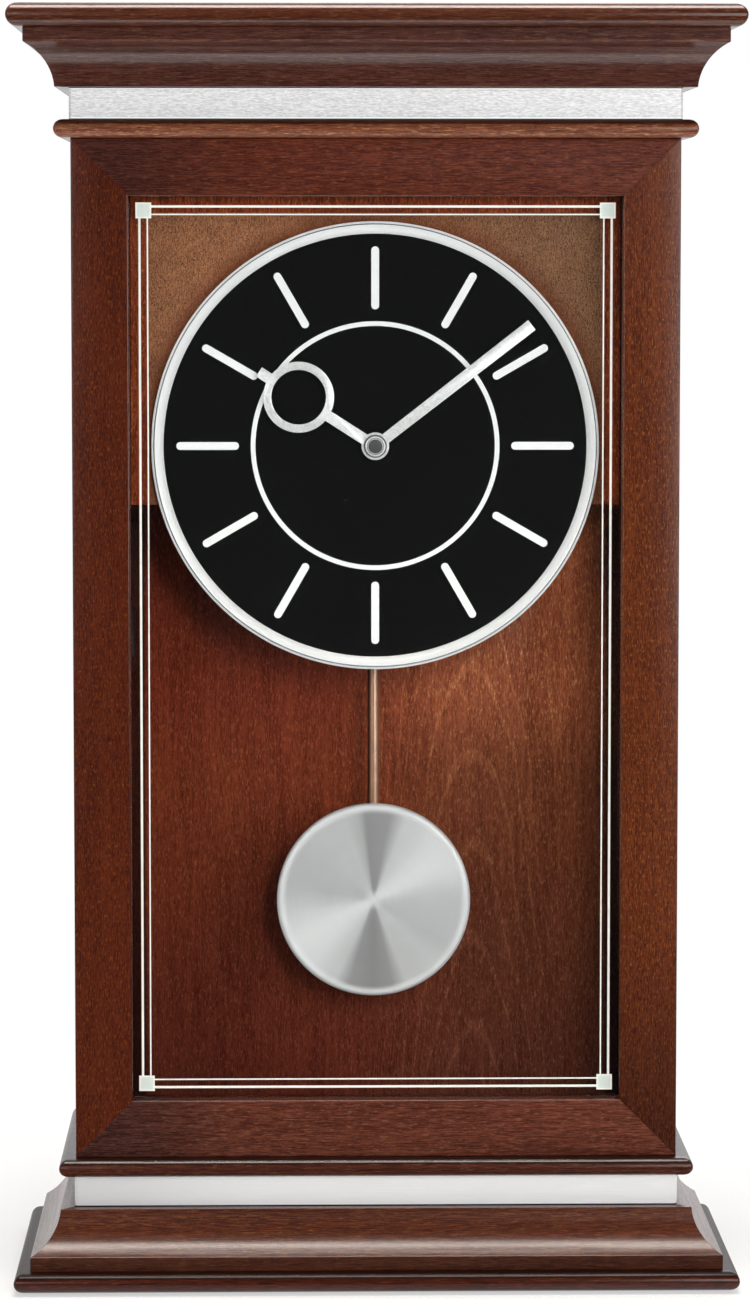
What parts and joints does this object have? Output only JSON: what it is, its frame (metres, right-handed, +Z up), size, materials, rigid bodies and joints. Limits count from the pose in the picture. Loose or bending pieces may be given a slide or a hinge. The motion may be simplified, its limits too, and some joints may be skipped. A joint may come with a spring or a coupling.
{
  "type": "desk pendulum clock",
  "caption": "Free-standing quartz pendulum clock in a mitred wooden case with glazed front, round dial, two hands, swinging bob and a hinged rear door.",
  "frame": {"origin": "on the table under the middle of the base board", "axes": "+Z up, -Y out of the dial towards the viewer, +X to the viewer's right"},
  "size_m": [0.2302, 0.1162, 0.4064],
  "materials": {
    "walnut": "red-brown stained wood under a satin lacquer, fine brown grain",
    "door_panel": "red-brown stained veneer panel, satin",
    "dial_veneer": "lighter brown speckled veneer, satin",
    "carcass_wood": "plain unlacquered wood",
    "brushed_band": "brushed aluminium strip, grain along its length",
    "spun_aluminium": "aluminium turned on a lathe, fine circular grain",
    "polished_bezel": "polished bright metal",
    "hand_metal": "satin aluminium with fine grain along each hand",
    "rod_metal": "polished rod with a warm tone",
    "glass": "clear float glass",
    "silver_print": "silver-white screen print",
    "white_print": "white print on the dial",
    "gloss_black": "gloss black lacquer",
    "black_nut": "dark plated metal",
    "black_plastic": "black moulded plastic, fine texture",
    "white_plastic": "natural white moulded plastic",
    "brass": "turned brass",
    "zinc_steel": "zinc plated steel",
    "nickel_contact": "nickel plated spring strip",
    "copper_winding": "enamelled copper wire",
    "circuit_green": "green solder mask",
    "battery_case": "printed sleeve without lettering",
    "magnet_grey": "sintered magnet",
    "felt": "black felt"
  },
  "bodies": {
    "case": {"base_felt": "felt", "base_board": "walnut", "base_moulding_front": "walnut", "base_moulding_left": "walnut", "base_moulding_right": "walnut", "base_rear_rail": "walnut", "lower_plinth": "walnut", "lower_band": "brushed_band", "lower_bead_board": "walnut", "side_panel_left": "walnut", "side_panel_right": "walnut", "frame_stile_left": "walnut", "frame_stile_right": "walnut", "frame_rail_top": "walnut", "frame_rail_bottom": "walnut", "glass_pane": "glass", "glass_border": "silver_print", "glass_stops": "walnut", "upper_bead_board": "walnut", "upper_plinth": "walnut", "upper_band": "brushed_band", "crown_moulding_front": "walnut", "crown_moulding_left": "walnut", "crown_moulding_right": "walnut", "crown_rear_rail": "walnut", "cap_board": "walnut", "dial_cleats": "carcass_wood", "dial_board": "dial_veneer", "dial_board_screws": "zinc_steel", "dial_plate": "gloss_black", "bezel": "polished_bezel", "dial_markings": "white_print", "movement_front_plate": "black_plastic", "movement_housing": "black_plastic", "mounting_nut": "brass", "circuit_board": "circuit_green", "motor_core": "zinc_steel", "motor_coil": "copper_winding", "battery": "battery_case", "battery_contacts": "nickel_contact", "pendulum_coil": "copper_winding", "hanger_pin": "zinc_steel", "hinge_case_leaves": "brass", "door_catch": "white_plastic"},
    "minute_hand": {"minute_hand": "hand_metal", "hand_nut": "black_nut", "minute_arbor": "white_plastic"},
    "hour_hand": {"hour_hand": "hand_metal", "hour_wheel": "white_plastic"},
    "intermediate_wheel": {"intermediate_wheel": "white_plastic"},
    "setting_knob": {"setting_knob": "black_plastic"},
    "pendulum": {"pendulum_hanger": "white_plastic", "hanger_magnet": "magnet_grey", "pendulum_rod": "rod_metal", "bob": "spun_aluminium", "bob_clip": "zinc_steel"},
    "rear_door": {"rear_door": "door_panel", "hinge_door_leaves": "brass", "door_knob": "brass", "catch_plate": "zinc_steel"}
  },
  "joints": [
    {"name": "minute_hand_turn", "type": "hinge", "parent": "case", "child": "minute_hand", "pos_m": [0, 0, 0.2676], "axis": [0, 1, 0], "continuous": true},
    {"name": "hour_hand_turn", "type": "hinge", "parent": "case", "child": "hour_hand", "pos_m": [0, 0, 0.2676], "axis": [0, 1, 0], "continuous": true},
    {"name": "intermediate_wheel_turn", "type": "hinge", "parent": "case", "child": "intermediate_wheel", "pos_m": [-0.01247, 0, 0.2604], "axis": [0, 1, 0], "continuous": true},
    {"name": "setting_knob_turn", "type": "hinge", "parent": "case", "child": "setting_knob", "pos_m": [-0.01967, 0, 0.24793], "axis": [0, 1, 0], "continuous": true},
    {"name": "pendulum_swing", "type": "hinge", "parent": "case", "child": "pendulum", "pos_m": [0, 0, 0.2536], "axis": [0, 1, 0], "range_deg": [-8, 8]},
    {"name": "rear_door_swing", "type": "hinge", "parent": "case", "child": "rear_door", "pos_m": [0.088, 0.05515, 0.203], "axis": [0, 0, -1], "range_deg": [0, 110]}
  ],
  "couplings": [
    {"joint": "hour_hand_turn", "follows": "minute_hand_turn", "ratio": 0.083333},
    {"joint": "intermediate_wheel_turn", "follows": "minute_hand_turn", "ratio": -0.33333},
    {"joint": "setting_knob_turn", "follows": "minute_hand_turn", "ratio": 1}
  ]
}
